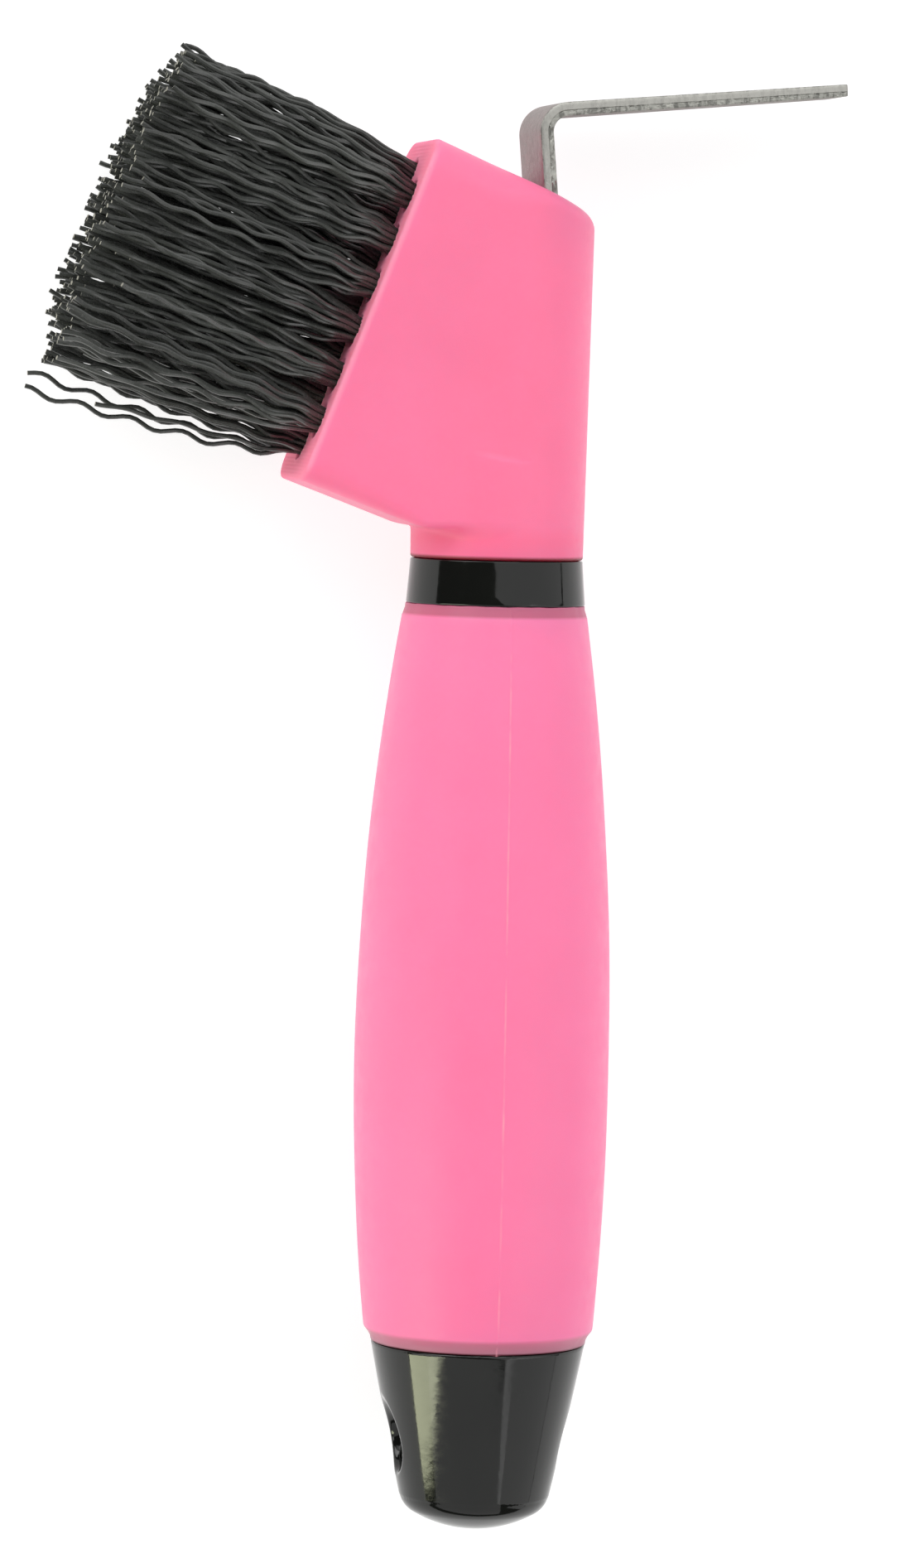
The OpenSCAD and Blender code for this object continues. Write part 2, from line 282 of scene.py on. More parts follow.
def head_material():
    """Satin pink, with cutter marks on the brush face, a painted highlight along its long edges, a painted
    shade tint on it, painted shade on the neck under the head and a painted shadow line in the joint above
    the collar.
    """
    n = Nodes("pink_moulding")
    middle = (FACE_MID[0], 0, FACE_MID[1])
    along_face = n.along((FACE_DIR[0], 0, FACE_DIR[1]), middle)
    above_face = n.along((FACE_OUT[0], 0, FACE_OUT[1]), middle)
    across = n.along((0, 1, 0), middle)
    up = n.along((0, 0, 1), (0, 0, 0))
    near_face = n.span(above_face, 0, 1, -0.8, -0.15)
    # Painted highlight: the base colour is lightened along the brush face's long edges.
    edge_highlight = n.times(near_face, n.span(n.math("ABSOLUTE", across), 0, 0.7, 9.6, 10.4))
    body = n.ramp(n.noise(60, 4), shade(HEAD_PINK, 0.965), shade(HEAD_PINK, 1.03))
    # Painted shade tint: the brush face is tinted salmon for the shade of the bristles over it.
    pale = n.mix(edge_highlight, n.mix(near_face, body, HEAD_FACE_SHADE_TINT), HEAD_EDGE_HIGHLIGHT)
    # Painted shade: the neck under the head's overhang is darker and redder, fading out at the head's
    # underside.
    pale = n.mix(n.span(up, 1, 0, HEAD_Z - 1.2, HEAD_Z + 0.5), pale, HEAD_NECK_SHADE)
    # Painted shadow: a dark red band at the foot of the neck, in the gap just above the collar.
    n.link(n.mix(n.span(up, 1, 0, COLLAR_TOP + 0.3, COLLAR_TOP + 0.6), pale, HEAD_GAP_SHADOW), "Base Color")
    n.link(n.math("ADD", n.span(n.noise(900, 3), 0.38, 0.5), n.times(near_face, 0.35)), "Roughness")
    n.link(n.span(near_face, 0.5, 0.1, 0, 1), "Specular IOR Level")
    grain = n.bump(n.noise(2600, 4, rough=0.6), 0.00002, 0.5)
    wavy = n.bump(n.noise(120, 2), 0.00012, 0.5, grain)
    place = n.add("ShaderNodeCombineXYZ", {"X": along_face, "Y": n.times(across, 0.06)}).outputs["Vector"]
    fine = n.times(n.math("SINE", n.times(along_face, 13.5)), 0.3)
    marks = n.times(n.math("ADD", fine, n.noise(1, 2, place)), n.span(above_face, 0, 1, -0.35, -0.1))
    n.link(n.bump(marks, 0.00004, 0.6, wavy), "Normal")
    n.set(IOR=1.46, Subsurface_Weight=0.45, Subsurface_Scale=0.007, Subsurface_Radius=(1.0, 0.4, 0.5))
    return n.material


def gel_material():
    """Pink gel, darkened where the black collar and cap show through its thin lips, with a painted shadow
    line under the lower lip and a painted highlight along the mould seams.
    """
    n = Nodes("gel_pink")
    up = n.along((0, 0, 1), (0, 0, 0))
    body = n.ramp(n.noise(45, 3), shade(GEL_PINK, 0.97), shade(GEL_PINK, 1.03))
    top = n.mix(n.span(up, 0, 1, GRIP_TOP - 1.55, GRIP_TOP - 1.15), body, GEL_EDGE_TOP)
    low = n.mix(n.span(up, 0, 1, CAP_H + 1.9, CAP_H + 1.35), top, GEL_EDGE_LOW_THICK)
    thin = n.mix(n.span(up, 0, 1, CAP_H + 1.35, CAP_H + 0.3), low, GEL_EDGE_LOW)
    # Painted shadow: a dark red band at the foot of the lower lip, where it meets the cap.
    lip_shadow = n.mix(n.span(up, 0, 1, CAP_H + 0.24, CAP_H + 0.1), thin, GEL_GAP_SHADOW)
    bow = n.math("SINE", n.times(n.math("SUBTRACT", up, CAP_H), math.pi / GRIP_LEN))
    off_seam = n.math("ABSOLUTE", n.math("ADD", n.along((1, 0, 0), (0, 0, 0)), n.times(bow, GRIP_BOW)))
    # Painted highlight: a lighter, broken line along the two mould seams, stopping short of the top.
    seam = n.times(n.span(off_seam, 1, 0, 0.05, 0.17), n.span(n.noise(150, 3), 0, 0.75, 0.42, 0.62))
    seam = n.times(seam, n.span(up, 1, 0, GRIP_TOP - 4, GRIP_TOP - 3))
    n.link(n.mix(seam, lip_shadow, GEL_SEAM_HIGHLIGHT), "Base Color")
    n.link(n.span(n.noise(500, 3), 0.36, 0.52), "Roughness")
    skin = n.bump(n.noise(1800, 3), 0.00002, 0.4)
    n.link(n.bump(n.noise(70, 2), 0.0002, 0.5, skin), "Normal")
    n.set(IOR=1.42, Subsurface_Weight=0.35, Subsurface_Scale=0.006, Subsurface_Radius=(1.0, 0.4, 0.5))
    return n.material


def black_material():
    n = Nodes("gloss_black")
    n.link(n.ramp(n.noise(80, 3), (0.0035, 0.004, 0.0035), (0.006, 0.0065, 0.0055)), "Base Color")
    scratches = n.noise(900, 2, n.stretched(1, 0.06, 1))
    n.link(n.span(scratches, 0.05, 0.11), "Roughness")
    peel = n.bump(n.noise(1100, 2), 0.00002, 0.22)
    n.link(n.bump(n.noise(260, 2), 0.00006, 0.2, peel), "Normal")
    n.set(IOR=1.46)
    return n.material


def zinc_material(name, colour, rough, pits, metal=1.0):
    """Zinc on steel; pits darken small specks, drawn out through the bar's thickness."""
    n = Nodes(name)
    cloud = n.noise(700, 5, rough=0.65)
    specks = n.noise(1, 4, n.stretched(1500, 1500, 600), rough=0.7)
    clouded = n.ramp(cloud, shade(colour, 1 - 0.4 * pits), shade(colour, 1 + 0.15 * pits), (0.3, 0.6))
    pitted = n.times(n.span(specks, 1, 0, 0.42, 0.52), pits)
    n.link(n.mix(pitted, clouded, shade(colour, 0.22)), "Base Color")
    n.link(n.span(n.noise(1500, 4), rough - 0.08, rough + 0.12), "Roughness")
    n.link(n.bump(n.noise(2500, 4, rough=0.7), 0.00006, 0.4 + pits), "Normal")
    n.set(Metallic=metal, Specular_Tint=(0.5, 0.47, 0.46, 1))
    return n.material


def bristle_material(name, colour, rough):
    n = Nodes(name)
    n.link(n.ramp(n.noise(140, 3), shade(colour, 0.75), shade(colour, 1.3)), "Base Color")
    n.link(n.span(n.noise(1200, 3), rough - 0.06, rough + 0.1), "Roughness")
    n.link(n.bump(n.noise(4000, 2), 0.00002, 0.4), "Normal")
    n.set(IOR=1.6)
    return n.material


# ---------------------------------------------------------------- meshes

def new_object(name, points, faces, materials, crease=math.radians(40), face_materials=None):
    """A mesh object from tool-frame points in millimetres."""
    mesh = bpy.data.meshes.new(name)
    mesh.from_pydata(lie_down(points).tolist(), [], faces)
    for material in materials:
        mesh.materials.append(material)
    if face_materials is not None:
        mesh.polygons.foreach_set("material_index", face_materials)
    mesh.shade_smooth()
    mesh.set_sharp_from_angle(angle=crease)
    mesh.validate()
    mesh.update()
    obj = bpy.data.objects.new(name, mesh)
    bpy.context.collection.objects.link(obj)
    return obj


def hand_in(obj, slot, *nodes):
    """Parents a piece to the root body and hides the CAD parts it stands for; the slot, what it is made of,
    is not used.
    """
    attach(obj, "root")
    if nodes:
        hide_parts(*nodes)


def revolve(outline, angles, shape=None):
    """Rings of points around the z axis from an open outline of (radius, z) that starts and
    ends on the axis or is closed by its maker. shape(radius, z, angle) may move the points."""
    outline = np.array(outline, float)
    radius, angle = np.meshgrid(outline[:, 0], angles, indexing="ij")
    z = np.repeat(outline[:, 1:2], len(angles), axis=1)
    if shape:
        x, y, z = shape(radius, z, angle)
    else:
        x, y = radius * np.cos(angle), radius * np.sin(angle)
    return np.stack([x, y, z], axis=-1).reshape(-1, 3)


def ring_faces(rings, around, closed):
    """Quads between rings of points; closed joins the last ring to the first."""
    faces = []
    for i in range(rings if closed else rings - 1):
        a, b = i * around, (i + 1) % rings * around
        for k in range(around):
            m = (k + 1) % around
            faces.append((a + k, a + m, b + m, b + k))
    return faces


def arc(cx, cz, radius, start, end, steps):
    """Points of an arc in an outline, angles in degrees."""
    turn = np.radians(np.linspace(start, end, steps + 1))
    return [(cx + radius * math.cos(a), cz + radius * math.sin(a)) for a in turn]


CELL_CORNERS = [(i, j, k) for i in (0, 1) for j in (0, 1) for k in (0, 1)]


def at_corner(grid, corner):
    """A grid's values at one corner of each of its cells."""
    return grid[tuple(slice(c, n - 1 + c) for c, n in zip(corner, grid.shape))]


def crossing_middles(value, active):
    """Within each active cell, the middle of the places where the surface cuts its edges."""
    total = np.zeros((np.count_nonzero(active), 3))
    crossings = np.zeros(len(total))
    for a in CELL_CORNERS:
        for axis in range(3):
            if a[axis]:
                continue
            b = tuple(1 if i == axis else a[i] for i in range(3))
            va, vb = at_corner(value, a)[active], at_corner(value, b)[active]
            cut = (va < 0) != (vb < 0)
            t = va[cut] / (va[cut] - vb[cut])
            total[cut] += np.array(a) + t[:, None] * (np.array(b) - np.array(a))
            crossings[cut] += 1
    return total / crossings[:, None]


def net_quads(inside, index, axis):
    """One quad around each grid edge along an axis that the surface cuts, facing outwards."""
    u, v = (axis + 1) % 3, (axis + 2) % 3
    first = [slice(1, -1)] * 3
    second = [slice(1, -1)] * 3
    first[axis], second[axis] = slice(0, -1), slice(1, None)
    start = inside[tuple(first)]
    edges = np.argwhere(start != inside[tuple(second)])
    outward = start[tuple(edges.T)]
    edges[:, u] += 1
    edges[:, v] += 1
    quad = []
    for du, dv in ((0, 0), (-1, 0), (-1, -1), (0, -1)):
        cell = edges.copy()
        cell[:, u] += du
        cell[:, v] += dv
        quad.append(index[tuple(cell.T)])
    quad = np.stack(quad, axis=1)
    quad[~outward] = quad[~outward][:, ::-1]
    return quad.tolist()


def surface_net(field, low, high, step):
    """Quads on the zero surface of a distance field, inside where it is negative."""
    axes = [np.arange(low[i], high[i] + step, step, dtype=np.float32) for i in range(3)]
    value = field(*np.meshgrid(*axes, indexing="ij"))
    inside = value < 0
    count = sum(at_corner(inside, c).astype(np.int8) for c in CELL_CORNERS)
    active = (count > 0) & (count < 8)
    cells = np.argwhere(active)
    index = np.full(active.shape, -1, np.int64)
    index[active] = np.arange(len(cells))
    points = np.array(low) + step * (cells + crossing_middles(value, active))
    faces = []
    for axis in range(3):
        faces += net_quads(inside, index, axis)
    return settle(field, points, step), faces


def settle(field, points, step):
    """Moves net points onto the field's zero surface."""
    tiny = 0.02
    for _ in range(2):
        slope = np.zeros_like(points)
        for axis in range(3):
            ahead, behind = points.copy(), points.copy()
            ahead[:, axis] += tiny
            behind[:, axis] -= tiny
            slope[:, axis] = (field(*ahead.T) - field(*behind.T)) / (2 * tiny)
        length = np.maximum((slope ** 2).sum(axis=1), 0.2)
        move = slope * (field(*points.T) / length)[:, None]
        points = points - np.clip(move, -step / 2, step / 2)
    return points


def round_max(a, b, radius):
    """Where two shapes overlap, with their shared edge rounded."""
    return (np.minimum(np.maximum(a, b), -radius)
            + np.hypot(np.maximum(a + radius, 0), np.maximum(b + radius, 0)))


def round_min(a, b, radius):
    """Two shapes joined, with a fillet between them."""
    return -round_max(-a, -b, radius)


# ---------------------------------------------------------------- head and core

def neck_radius(z):
    return NECK_R + (z - COLLAR_TOP) * math.tan(DRAFT)


def face_places(x, z):
    """Distance along the brush face from its middle, and height above it."""
    dx, dz = x - FACE_MID[0], z - FACE_MID[1]
    return dx * FACE_DIR[0] + dz * FACE_DIR[1], dx * FACE_OUT[0] + dz * FACE_OUT[1]


def tuft_places():
    """Name, row, place along the face and place across it of every tuft."""
    for name, row in (("near", -1), ("mid", 0), ("far", 1)):
        count = TUFTS_MID if row == 0 else TUFTS_MID - 1
        for i in range(count):
            yield f"{name}_{i + 1}", row, (i - (count - 1) / 2) * TUFT_PITCH, row * ROW_GAP


def head_field(x, y, z):
    edge = 0.55
    radius = neck_radius(z)
    plan = np.where(x > 0, np.hypot(x, y), np.abs(y)) - radius
    along, height = face_places(x, z)
    top = (x - FACE_TOP[0]) * math.sin(TOP_FALL) + (z - FACE_TOP[1]) * math.cos(TOP_FALL)
    fall = math.atan2(FACE_RISE, FACE_REACH - NECK_R)
    low = -(x - FACE_LOW[0]) * math.sin(fall) - (z - FACE_LOW[1]) * math.cos(fall)
    back = np.clip((x + 4) / 10, 0, 1)
    block = round_max(plan, top, EDGE_R - 2.5 * back * back * (3 - 2 * back))
    underside = round_max(low, HEAD_Z - z, 0.5)
    block = round_max(block, underside, EDGE_R - 1.0 - 1.8 * np.clip((x + 20) / 10, 0, 1))
    hole = np.full(x.shape, 100.0)
    for _, _, s, across in tuft_places():
        hole = np.minimum(hole, np.hypot(along - s, y - across) - HOLE_R)
    burr = 0.22 * np.exp(-((hole - 0.2) / 0.3) ** 2) * (0.7 + 0.3 * np.sin(along * 5.1) * np.sin(y * 4.3))
    block = round_max(block, height - burr, edge)
    neck = round_max(np.hypot(x, y) - radius, COLLAR_TOP + 0.05 - z, 0.35)
    neck = np.maximum(neck, z - HEAD_Z - 8)
    fillet = 0.01 + 1.5 * np.clip((3 - x) / 5, 0, 1) * np.clip((x + 12) / 6, 0.15, 1)
    body = round_min(block, neck, fillet)
    flare = hole - np.maximum(height + 0.35, 0) * 0.8
    body = np.maximum(body, -np.maximum(flare, -height - HOLE_DEPTH))
    u, w = hook_places(x, z)
    slot = np.maximum(np.abs(u - BAR_T / 2) - BAR_T / 2 - 0.1, np.abs(y) - BAR_W / 2 - 0.12)
    slot = np.maximum(slot, -w - TANG_FROM)
    return np.maximum(body, -slot)


def hook_places(x, z):
    """Tool x and z to the hook's own x and z."""
    dx, dz = x - HOOK_X, z - HOOK_Z
    c, s = math.cos(HOOK_LEAN), math.sin(HOOK_LEAN)
    return dx * c + dz * s, dz * c - dx * s


def make_head(material):
    step = 0.3
    low = (-FACE_REACH - 1.2, -NECK_R - 1.5, COLLAR_TOP - 1)
    high = (NECK_R + 1.6, NECK_R + 1.5, FACE_TOP[1] + 1.2)
    points, faces = surface_net(head_field, low, high, step)
    obj = new_object("head", points, faces, [material], math.radians(55))
    hand_in(obj, "head_plastic", "head_and_core")


def make_core(material):
    """The head moulding's shaft inside grip and collar, with its hollow."""
    foot = CAP_H - SPIGOT_LEN
    outline = [(HOLLOW_R, foot), (SPIGOT_R - 0.6, foot), (SPIGOT_R, foot + 0.6), (SPIGOT_R, CAP_H),
               (CORE_R, CAP_H), (CORE_R, COLLAR_TOP + 0.6), (0.4, COLLAR_TOP + 0.6),
               (0.4, HOLLOW_TOP + 0.6)]
    outline += arc(HOLLOW_R - 2, HOLLOW_TOP - 2, 2, 90, 0, 6)
    around = 72
    points = revolve(outline, np.linspace(0, 2 * math.pi, around, endpoint=False))
    obj = new_object("core_shaft", points, ring_faces(len(outline), around, True), [material])
    hand_in(obj, "head_plastic", "head_and_core")


# ---------------------------------------------------------------- collar, grip and cap

def make_collar(material):
    inner, outer = CORE_R + SLIP, NECK_R - SLIP
    low_r = GRIP_TOP_R - 0.15
    outline = [(inner, GRIP_TOP - LAP), (outer, GRIP_TOP - LAP), (outer, GRIP_TOP - 0.05)]
    outline += arc(low_r - 0.25, GRIP_TOP + 0.2, 0.25, -90, 0, 4)
    outline += [(low_r - (low_r - NECK_R) * t, GRIP_TOP + 0.2 + (COLLAR_H - 0.5) * t)
                for t in (0.2, 0.4, 0.6, 0.8)]
    outline += arc(NECK_R - 0.14, COLLAR_TOP - 0.14, 0.14, 0, 90, 5)
    outline += [(inner, COLLAR_TOP)]
    around = 160
    points = revolve(outline, np.linspace(0, 2 * math.pi, around, endpoint=False))
    obj = new_object("collar_ring", points, ring_faces(len(outline), around, True), [material])
    hand_in(obj, "black_plastic", "collar")


def grip_angles():
    """Angles around the grip, closer together at its two mould seams."""
    near = np.array([-1.6, -0.9, -0.45, 0, 0.45, 0.9, 1.6]) * 0.012
    angles = [a for a in np.linspace(-math.pi, math.pi, 144, endpoint=False)
              if min(abs(abs(a) - math.pi / 2), 1) > 0.021]
    for seam in (-math.pi / 2, math.pi / 2):
        angles += list(seam + near)
    return np.array(sorted(angles))


def grip_radius(z):
    """Radius of the grip's outline: two arcs that meet at the belly."""
    run = np.where(z > BELLY_Z, GRIP_TOP - BELLY_Z, BELLY_Z - CAP_H - LIP_H)
    drop = np.where(z > BELLY_Z, BELLY_R - GRIP_TOP_R, BELLY_R - GRIP_LOW_R)
    radius = (run * run + drop * drop) / (2 * drop)
    s = np.minimum(np.abs(z - BELLY_Z), run)
    return BELLY_R - radius + np.sqrt(radius * radius - s * s)


def grip_shape(radius, z, angle):
    """Bends the grip a little, raises its seams and makes its lips uneven."""
    outer = radius > grip_radius(z) - 0.9
    t = np.clip((z - CAP_H) / GRIP_LEN, 0, 1)
    bow = -GRIP_BOW * np.sin(math.pi * t)
    off = np.abs(np.abs(angle) - math.pi / 2) * radius
    flow = 1 + 0.5 * np.sin(z * 1.7) * np.sin(z * 0.43 + 1)
    ridge = 0.06 * flow * np.exp(-(off / 0.13) ** 2)
    pip = 0.16 * np.exp(-((z - 51.5) / 0.35) ** 2 - (off / 0.3) ** 2)
    slow = 0.03 * np.sin(3 * angle + z * 0.11) + 0.02 * np.sin(5 * angle - z * 0.23)
    ends = np.exp(-((z - CAP_H) / 0.5) ** 2) + np.exp(-((z - GRIP_TOP) / 0.5) ** 2)
    waver = 0.03 * np.sin(9 * angle + 0.7) * np.sin(23 * angle) * ends
    nub = 0.18 * np.exp(-(off / 0.5) ** 2) * np.exp(-((z - CAP_H) / 0.3) ** 2)
    radius = radius + outer * (ridge + pip + slow + waver)
    z = z - outer * nub + outer * 0.04 * np.sin(7 * angle) * np.sin(17 * angle + 1) * ends
    return radius * np.cos(angle) + bow, radius * np.sin(angle), z


def make_grip(material):
    lip_top = GRIP_TOP - 1.35
    crease = CAP_H + LIP_H
    outline = [(CORE_R, CAP_H + LAP), (CAP_R - SKIRT_WALL, CAP_H + LAP), (CAP_R - SKIRT_WALL, CAP_H + 0.02)]
    outline += arc(CAP_R - 0.1, CAP_H + 0.17, 0.15, -90, -15, 3)
    outline += [(CAP_R + 0.12, CAP_H + 0.55), (CAP_R + 0.38, CAP_H + 1.05), (CAP_R + 0.62, CAP_H + 1.35)]
    outline += [(GRIP_LOW_R - 0.1, crease - 0.02)]
    outline += [(float(grip_radius(z)), float(z)) for z in np.linspace(crease + 0.25, lip_top - 0.1, 150)]
    lip_r = float(grip_radius(lip_top))
    outline += [(lip_r - 0.05, lip_top), (lip_r - 0.08, lip_top + 0.12)]
    outline += [(GRIP_TOP_R - 0.1, GRIP_TOP - 0.5)]
    outline += arc(GRIP_TOP_R - 0.27, GRIP_TOP - 0.17, 0.15, 10, 90, 3)
    outline += [(NECK_R - SLIP, GRIP_TOP - 0.02), (NECK_R - SLIP, GRIP_TOP - LAP), (CORE_R, GRIP_TOP - LAP)]
    angles = grip_angles()
    around = len(angles)
    points = revolve(outline, angles, grip_shape)
    rings = len(outline)
    obj = new_object("gel_sleeve", points, ring_faces(rings, around, True), [material], math.radians(35))
    hand_in(obj, "gel", "gel_grip")


def cap_field(x, y, z):
    slope = (CAP_R - CAP_BUTT_R) / CAP_H
    taper = math.atan(slope)
    inset_r = CAP_BUTT_R - CAP_CORNER_R / math.cos(taper)
    inset_dome = DOME_R - CAP_CORNER_R
    qa = 1 + slope * slope
    qb = 2 * (inset_r * slope - DOME_R)
    qc = inset_r ** 2 + DOME_R ** 2 - inset_dome ** 2
    corner_z = (-qb - math.sqrt(qb * qb - 4 * qa * qc)) / (2 * qa)
    corner_x = inset_r + slope * corner_z
    dome_turn = math.atan2(DOME_R - corner_z, corner_x)
    radius = np.hypot(x, y)
    bulge = 0.4 * (z / CAP_H) * (1 - z / CAP_H)
    side = (radius - inset_r - slope * z - bulge) * math.cos(taper)
    dome = np.where(z < DOME_R, np.hypot(radius, z - DOME_R) - inset_dome, -5)
    turn = -np.arctan2(z - corner_z, radius - corner_x)
    wedge = (turn > taper) & (turn < dome_turn)
    body = np.where(wedge, np.hypot(radius - corner_x, z - corner_z), np.maximum(side, dome)) - CAP_CORNER_R
    body = round_max(body, z - CAP_H + 0.02, 0.3)
    skirt = np.maximum(radius - CAP_R + SKIRT_WALL + SLIP, np.maximum(z - CAP_H - LAP, CAP_H - 2 - z))
    body = np.minimum(body, skirt)
    bore = np.hypot(y, z - HANG_Z)
    flare = (bore - HANG_R - (np.abs(x) - HANG_HALF)) * math.cos(math.pi / 4)
    body = round_max(body, -round_min(bore - HANG_R, flare, 0.8), 0.4)
    pocket = np.maximum(radius - SPIGOT_R - SLIP, CAP_H - SPIGOT_LEN - z)
    pocket = np.minimum(pocket, np.maximum(radius - CORE_R - SLIP, CAP_H - z))
    return np.maximum(body, -pocket)


def make_cap(material):
    step = 0.2
    reach = CAP_R + 1
    points, faces = surface_net(cap_field, (-reach, -reach, -1), (reach, reach, CAP_H + LAP + 1), step)
    obj = new_object("butt_cap", points, faces, [material], math.radians(50))
    hand_in(obj, "black_plastic", "end_cap")


# ---------------------------------------------------------------- hook

def hook_stations():
    """Places along the bar: outer point, outward direction, width and thickness."""
    outer_r = BEND_R + BAR_T
    shank = np.linspace(-SHANK_LEN, -TANG_FROM, 12)
    stations = [((0.0, z), (-1.0, 0.0), TANG_W, BAR_T) for z in shank]
    stations += [((0.0, z), (-1.0, 0.0), BAR_W, BAR_T) for z in np.linspace(-TANG_FROM + 0.05, -outer_r, 60)]
    for a in np.radians(np.linspace(0, 90, 19)[1:-1]):
        out = (-math.cos(a), math.sin(a))
        stations.append(((outer_r + outer_r * out[0], -outer_r + outer_r * out[1]), out, BAR_W, BAR_T))
    soft = 0.35
    arm = np.linspace(outer_r, ARM_LEN - soft, 170)
    rounded_end = ARM_LEN - soft * (1 - np.sin(np.radians([15, 32, 50, 70, 90])))
    for x in np.concatenate([arm, rounded_end]):
        t = (x - outer_r) / (ARM_LEN - outer_r)
        left = max(0.0, x - ARM_LEN + soft) / soft
        ease = 1 - math.sqrt(max(0.0, 1 - left * left))
        width = BAR_W + (TIP_W - BAR_W) * t - 1.0 * ease
        thick = BAR_T + (TIP_T - BAR_T) * t - 0.24 * ease
        stations.append(((x, -0.12 * ease), (0.0, 1.0), width, thick))
    return stations


def bar_section(width, thick, rough):
    """Outline of the bar's cross-section: (across, depth below the outer face). The first part of
    each sheared edge is burnished and the rest is broken away; rough holds its unevenness."""
    half = width / 2
    corner = 0.1
    burnish = 0.56 * thick
    edge = [(half - corner, 0.0), (half - 0.03, 0.03), (half, corner)]
    edge += [(half, burnish * k) for k in (0.5, 0.8, 1.0)]
    broken = thick - burnish - 0.1
    edge += [(half - 0.05 - r, burnish + broken * k) for r, k in zip(rough, (0.12, 0.3, 0.5, 0.7, 0.88))]
    edge += [(half - 0.14, thick - 0.03), (half - 0.3, thick)]
    inner = [(half * k, thick) for k in (0.75, 0.4, 0.0, -0.4, -0.75)]
    outer = [(-half * k, 0.0) for k in (0.75, 0.4, 0.0, -0.4, -0.75)]
    mirrored = [(-a, d) for a, d in reversed(edge)]
    return edge + inner + mirrored + outer


def make_hook(materials):
    rng = np.random.default_rng(11)
    stations = hook_stations()
    points = []
    for (px, pz), (ox, oz), width, thick in stations:
        section = bar_section(width, thick, rng.uniform(-0.04, 0.1, 5))
        for across, deep in section:
            u, w = px - ox * deep, pz - oz * deep
            c, s = math.cos(HOOK_LEAN), math.sin(HOOK_LEAN)
            points.append((HOOK_X + u * c - w * s, across, HOOK_Z + w * c + u * s))
    around = len(section)
    rings = len(stations)
    faces = ring_faces(rings, around, False)
    faces += [tuple(reversed(range(around))), tuple(range((rings - 1) * around, rings * around))]
    edge_count, broad_count = 13, 5
    flat, burnished, broken, inner = 0, 1, 2, 3
    # The two rounded corner faces beside the outer face take the darker broken-edge zinc: a painted dark
    # reflection along the bar's outline.
    side = [broken] * 2 + [burnished] * 3 + [broken] * (edge_count - 6)
    kind = side + [inner] * (broad_count + 1) + side[::-1] + [flat] * (broad_count + 1)
    kinds = np.concatenate([np.tile(kind, rings - 1), [flat, burnished]])
    flipped = [tuple(reversed(f)) for f in faces]
    obj = new_object("hook_bar", points, flipped, materials, math.radians(32), kinds)
    hand_in(obj, "zinc_steel", "hook")


# ---------------------------------------------------------------- brush

CRIMP = 6.3              # length of one wave of a filament
FILAMENT_R = 0.29
PER_TUFT = 24
SIDES = 7
STATIONS = 46
FAN_ACROSS = 2.7         # how far the outer rows' tips lean out
BRUSH_HALF = 19.4        # half the brush's length at its tips
STRAYS = {               # at the two ends of the brush: tip, length, depth of the crimp
    "mid_1": (((-24.0, 0.5), 33.5, 0.42), ((-22.4, -2.0), 25.2, 0.2), ((-21.9, 2.5), 33.6, 0.4)),
    "mid_7": (((20.7, -0.6), 31.5, 0.32), ((21.2, 1.6), 30.9, 0.28)),
}


def filament_tube(path, radius):
    """Rings of points around a path, one for each of its stations."""
    ahead = np.gradient(path, axis=0)
    ahead /= np.linalg.norm(ahead, axis=1)[:, None]
    side = np.cross(ahead, [0.0, 1.0, 0.0])
    side /= np.linalg.norm(side, axis=1)[:, None]
    over = np.cross(ahead, side)
    turn = np.linspace(0, 2 * math.pi, SIDES, endpoint=False)
    ring = np.cos(turn)[None, :, None] * side[:, None] + np.sin(turn)[None, :, None] * over[:, None]
    return path[:, None] + ring * radius[:, None, None]


def filament_path(rng, root, tip, length, wave, crimp=None):
    """Centre line of one filament in face places: along, across and height. It opens quickly out
    of its hole and then runs straight to its tip, with a crimp of its own."""
    h = np.linspace(-3.0, length, STATIONS)
    up = np.maximum(h, 0) / length
    opened = (0.3 * (1 - np.exp(-7 * up)) + 0.7 * up)[:, None]
    line = np.array(root) + (np.array(tip) - root) * opened
    line += rng.normal(0, 0.45, 2) * np.sin(math.pi * up)[:, None]
    size = (crimp or rng.uniform(0.14, 0.37)) * np.minimum(np.maximum(h, 0) / 3, 1)
    turn = wave[1] + rng.normal(0, 0.45)
    pace = CRIMP * rng.uniform(0.9, 1.12)
    swing = size * np.sin(2 * math.pi * h / pace + wave[0] + rng.normal(0, 0.55))
    return line[:, 0] + swing * math.cos(turn), line[:, 1] + swing * math.sin(turn), h


def face_to_tool(along, across, height):
    x = FACE_MID[0] + along * FACE_DIR[0] + height * FACE_OUT[0]
    z = FACE_MID[1] + along * FACE_DIR[1] + height * FACE_OUT[1]
    return np.stack([x, across, z], axis=-1)


def trim_height(s):
    """Bristle tips end on a slightly crowned surface, lower at the top end."""
    return BRISTLE_LEN + 0.9 - 0.0045 * s * s - 0.022 * s


def held_in(value, limit):
    """Keeps the brush's outer filaments from spreading past a limit."""
    return math.copysign(min(abs(value), limit + 0.2 * max(0.0, abs(value) - limit)), value)


